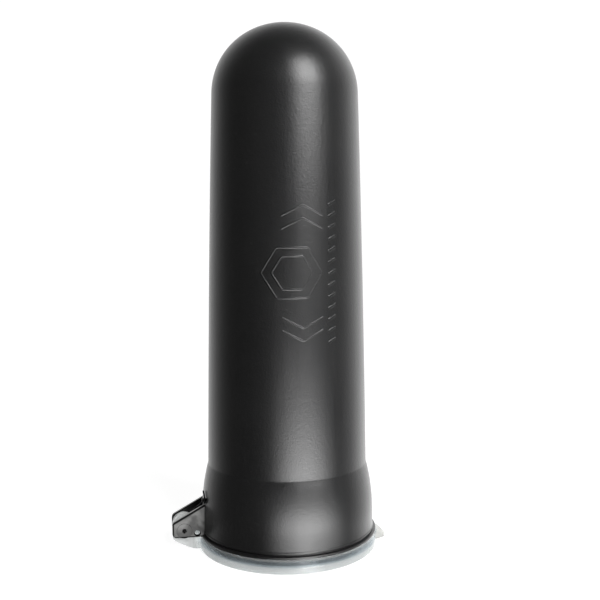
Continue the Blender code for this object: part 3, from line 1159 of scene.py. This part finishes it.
# -----------------------------------------------------------------------------------------------
# Which body each piece moves with
# -----------------------------------------------------------------------------------------------
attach(pod, "pod")
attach(pin, "pod")
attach(lid, "lid")
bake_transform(spring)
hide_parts("pod_body")
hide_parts("hinge_pin")
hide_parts("lid")
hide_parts("torsion_spring")

for helper in list(helpers.objects):
    bpy.data.objects.remove(helper)

# -----------------------------------------------------------------------------------------------
# Camera
# -----------------------------------------------------------------------------------------------
AZIMUTH = math.radians(8.5)  # round the tube, from -Y towards -X
YAW, PITCH, ROLL = 0.009869, 0.099733, -0.005009  # radians
DISTANCE, CAMERA_HEIGHT, SIDE = 390.0, 147.386, 2.2733
SENSOR, LENS = 36.0, 53.71938


def build_camera():
    """Makes the camera and returns its place."""
    place = Matrix.Rotation(-AZIMUTH, 3, "Z") @ Vector((SIDE, -DISTANCE, CAMERA_HEIGHT))
    right = Vector((1, 0, 0))
    forward = Vector((0, math.cos(PITCH), -math.sin(PITCH)))
    up = Vector((0, math.sin(PITCH), math.cos(PITCH)))
    right, up = (
        right * math.cos(ROLL) + up * math.sin(ROLL),
        up * math.cos(ROLL) - right * math.sin(ROLL),
    )
    turn = Matrix.Rotation(-(AZIMUTH + YAW), 3, "Z")
    axes = Matrix((turn @ right, turn @ up, turn @ -forward)).transposed()
    data = bpy.data.cameras.new("camera")
    data.sensor_width = SENSOR
    data.lens = LENS
    data.clip_start, data.clip_end = 0.01, 20.0
    camera = make_object("camera", data, stage)
    camera.matrix_world = Matrix.Translation(place * MM) @ axes.to_4x4()
    bpy.context.scene.camera = camera
    return place


camera_place = build_camera()
VIEW_ANGLE = math.atan2(camera_place.x, -camera_place.y)  # the camera's place round the object

# -----------------------------------------------------------------------------------------------
# World
# -----------------------------------------------------------------------------------------------
bpy.context.scene.view_settings.view_transform = "Standard"
bpy.context.scene.view_settings.look = "None"

# Brightness by the angle round the object: 0 towards the camera, positive to its right.
ROOM = (
    (-180, 1.25), (-150, 1.25), (-125, 0.54), (-108, 0.20), (-92, 0.07), (-75, 0.02),
    (-20, 0.02), (60, 0.03), (82, 0.06), (98, 0.36), (116, 1.35), (140, 1.9), (180, 1.4),
)  # fmt: skip
# Brightness factor by the angle over the horizon: the room fades towards the ceiling.
ROOM_HEIGHT = (
    (-90, 1.2), (-35, 1.9), (-22, 1.4), (-12, 1.0), (30, 1.0), (46, 0.5), (62, 0.10), (90, 0.06),
)  # fmt: skip
SEEN_LEVEL = 1.05  # what the camera sees, directly or through the clear lid


def ramp(graph, value, stops):
    """A smooth curve guided by (value, level) stops. The ramp's levels stay within 0 and 1."""
    low, high = stops[0][0], stops[-1][0]
    top = max(level for _, level in stops)
    made = graph.node("ValToRGB")
    made.color_ramp.interpolation = "B_SPLINE"
    elements = made.color_ramp.elements
    while len(elements) > 1:
        elements.remove(elements[-1])
    for i, (at, level) in enumerate(stops):
        position = (at - low) / (high - low)
        element = elements[0] if i == 0 else elements.new(position)
        element.position = position
        element.color = (level / top,) * 3 + (1.0,)
    share = graph.math("DIVIDE", graph.subtract(value, low), high - low)
    graph.link(share, made.inputs["Fac"])
    return graph.multiply(made.outputs["Color"], top)


def build_world():
    world = bpy.data.worlds.new("studio")
    bpy.context.scene.world = world
    sky = Graph(world, output="OutputWorld")
    x, y, z = sky.separate(sky.node("TexCoord").outputs["Generated"])
    cosine, sine = math.cos(VIEW_ANGLE), math.sin(VIEW_ANGLE)
    # x and y turned so that `ahead` points from the object to the camera
    across = sky.add(sky.multiply(x, cosine), sky.multiply(y, sine))
    ahead = sky.subtract(sky.multiply(x, sine), sky.multiply(y, cosine))
    bearing = sky.multiply(sky.math("ARCTAN2", across, ahead), DEGREES)
    elevation = sky.multiply(sky.math("ARCSINE", z), DEGREES)
    level = sky.multiply(ramp(sky, bearing, ROOM), ramp(sky, elevation, ROOM_HEIGHT))
    path = sky.node("LightPath").outputs
    seen = sky.math("MAXIMUM", path["Is Camera Ray"], path["Is Transmission Ray"])
    shown = sky.node("Mix", Factor=seen)
    shown.data_type = "FLOAT"
    sky.link(level, shown.inputs[2])
    shown.inputs[3].default_value = SEEN_LEVEL
    background = sky.shader("Background", Strength=shown.outputs[0], Color=(1, 1, 1, 1))
    sky.surface(background)


build_world()


# -----------------------------------------------------------------------------------------------
# Key light
# -----------------------------------------------------------------------------------------------
KEY_RADIANCE = 13.3
LOUVRE_OUTER, LOUVRE_INNER = 0.0300, 0.0225  # m off the axis: no light beyond, full light within


def softbox(name, azimuth, distance, low, high, width, radiance):
    """An upright soft light. Azimuth is from the camera, positive to its right."""
    data = bpy.data.lights.new(name, "AREA")
    data.shape = "RECTANGLE"
    data.size, data.size_y = width * MM, (high - low) * MM
    data.energy = radiance * math.pi * data.size * data.size_y
    light = make_object(name, data, stage)
    angle = math.radians(azimuth) + VIEW_ANGLE
    x, y = math.sin(angle), -math.cos(angle)
    light.location = Vector((x * distance, y * distance, (low + high) / 2)) * MM
    light.rotation_mode = "QUATERNION"
    light.rotation_quaternion = Vector((-x, -y, 0)).to_track_quat("-Z", "Y")
    return light


def louvre(mat):
    """1 for light that heads for the object's middle, 0 for light that grazes its side or top."""
    geometry = mat.node("NewGeometry")
    x, y, z = mat.separate(geometry.outputs["Position"])
    ray_x, ray_y, ray_z = mat.separate(geometry.outputs["Incoming"])
    squares = mat.add(mat.multiply(ray_x, ray_x), mat.multiply(ray_y, ray_y))
    flat = mat.math("MAXIMUM", squares, 0.0001)
    level = mat.math("SQRT", flat)
    cross = mat.subtract(mat.multiply(x, ray_y), mat.multiply(y, ray_x))
    beside = mat.math("DIVIDE", cross, level)
    dot = mat.add(mat.multiply(x, ray_x), mat.multiply(y, ray_y))
    # The ray's height where it passes the tube's axis
    passing = mat.subtract(z, mat.multiply(mat.math("DIVIDE", dot, flat), ray_z))
    over_dome_foot = mat.math("MAXIMUM", mat.subtract(passing, DOME_Z * MM), 0.0)
    miss = mat.length(beside, mat.multiply(over_dome_foot, level))
    return mat.fade(miss, start=LOUVRE_OUTER, end=LOUVRE_INNER)


def panel(light, radiance):
    """The gridded face of a softbox: only gloss shows it, and the light does the rest."""
    draft = bmesh.new()
    bmesh.ops.create_grid(draft, x_segments=1, y_segments=1, size=0.5)
    mesh = make_mesh(light.name + "_face", draft)
    face = make_object(light.name + "_face", mesh, stage)
    face.location = light.location
    face.rotation_mode = "QUATERNION"
    face.rotation_quaternion = light.rotation_quaternion
    face.scale = (light.data.size, light.data.size_y, 1)
    mat = material_graph(face.name)
    glow = mat.shader("Emission", Strength=mat.multiply(louvre(mat), radiance))
    mesh.materials.append(mat.surface(glow))
    mat.owner.cycles.emission_sampling = "NONE"
    face.visible_camera = face.visible_diffuse = face.visible_transmission = False
    face.visible_shadow = face.visible_volume_scatter = False
    light.visible_glossy = False


key = softbox(
    "key_softbox",
    azimuth=36,
    distance=1600,
    low=470,
    high=2000,
    width=1040,
    radiance=KEY_RADIANCE,
)
panel(key, KEY_RADIANCE)

# -----------------------------------------------------------------------------------------------
# Floor: white paper, with light on it that only the object's gloss shows
# -----------------------------------------------------------------------------------------------
FLOOR_RADIUS, FLOOR_Z = 1.4, -0.00005  # m
PAPER_GLOW, PAPER_SHADE = 1.38, 0.35  # white the camera sees, and the share of real shading in it

# Pool of light: degrees right of the camera, half-spread in degrees, reach in m, level
POOL_ANGLE, POOL_SPREAD, POOL_REACH, POOL_LEVEL = 22.0, 46.0, 0.46, 14.0
# Streaks beside the foot: degrees right of the camera, half-width, full-level half-width, level
STREAKS = ((9.0, 24.0, 4.0, 1.8), (15.5, 11.0, 2.0, 6.0))


def floor_light(mat):
    """Strength of the pool in front of the object and of the streaks close to its foot."""
    turned = mat.node(
        "VectorRotate", Vector=mat.place, Angle=-VIEW_ANGLE - math.radians(POOL_ANGLE)
    )
    turned.rotation_type = "Z_AXIS"
    spot_x, spot_y, _ = mat.separate(turned.outputs[0])
    forward = mat.multiply(spot_y, -1.0)
    away = mat.length(spot_x, forward)
    aside = mat.multiply(
        mat.math("ABSOLUTE", mat.math("ARCTAN2", spot_x, forward)), DEGREES
    )
    pool = mat.multiply(
        mat.fade(aside, start=POOL_SPREAD, end=3.0),
        mat.multiply(
            mat.fade(away, start=POOL_REACH, end=0.08),
            mat.fade(away, start=0.052, end=0.092),
        ),
    )
    near = mat.multiply(
        mat.fade(away, start=0.068, end=0.058),
        mat.fade(away, start=0.042, end=0.048, low=0.25),
    )
    bearing = mat.multiply(mat.math("ARCTAN2", spot_x, forward), DEGREES)
    streaks = []
    for angle, half_width, full_width, level in STREAKS:
        off_middle = mat.math("ABSOLUTE", mat.add(bearing, POOL_ANGLE - angle))
        streak = mat.fade(off_middle, start=half_width, end=full_width)
        streaks.append(mat.multiply(streak, level))
    return mat.add(mat.multiply(pool, POOL_LEVEL), mat.multiply(mat.add(*streaks), near))


def floor_material():
    mat = material_graph("pale_floor")
    grey = mat.mix(mat.noise(scale=9.0), (0.80, 0.80, 0.80), (0.84, 0.84, 0.835))
    paper = mat.shader("BsdfDiffuse", Color=grey)
    strength = floor_light(mat)
    glow = mat.shader("Emission", Strength=mat.multiply(strength, louvre(mat)))
    # The camera sees plain white paper, with only a trace of the object's own shadow on it.
    white = mat.shader("Emission", Strength=PAPER_GLOW)
    sheet = mat.mix_shaders(PAPER_SHADE, white, paper)
    hole = mat.shader("BsdfTransparent")
    gloss = mat.node("AddShader")
    mat.link(glow, gloss.inputs[0])
    mat.link(hole, gloss.inputs[1])
    path = mat.node("LightPath").outputs
    by_gloss = mat.mix_shaders(path["Is Glossy Ray"], hole, gloss.outputs[0])
    by_diffuse = mat.mix_shaders(path["Is Diffuse Ray"], by_gloss, paper)
    by_camera = mat.mix_shaders(path["Is Camera Ray"], by_diffuse, sheet)
    return mat.surface(by_camera)


def build_floor():
    draft = bmesh.new()
    bmesh.ops.create_circle(draft, cap_ends=True, segments=96, radius=FLOOR_RADIUS)
    floor = make_object("floor", make_mesh("floor", draft), stage)
    floor.location = (0, 0, FLOOR_Z)
    material = floor_material()
    floor.data.materials.append(material)
    material.cycles.emission_sampling = "NONE"


build_floor()
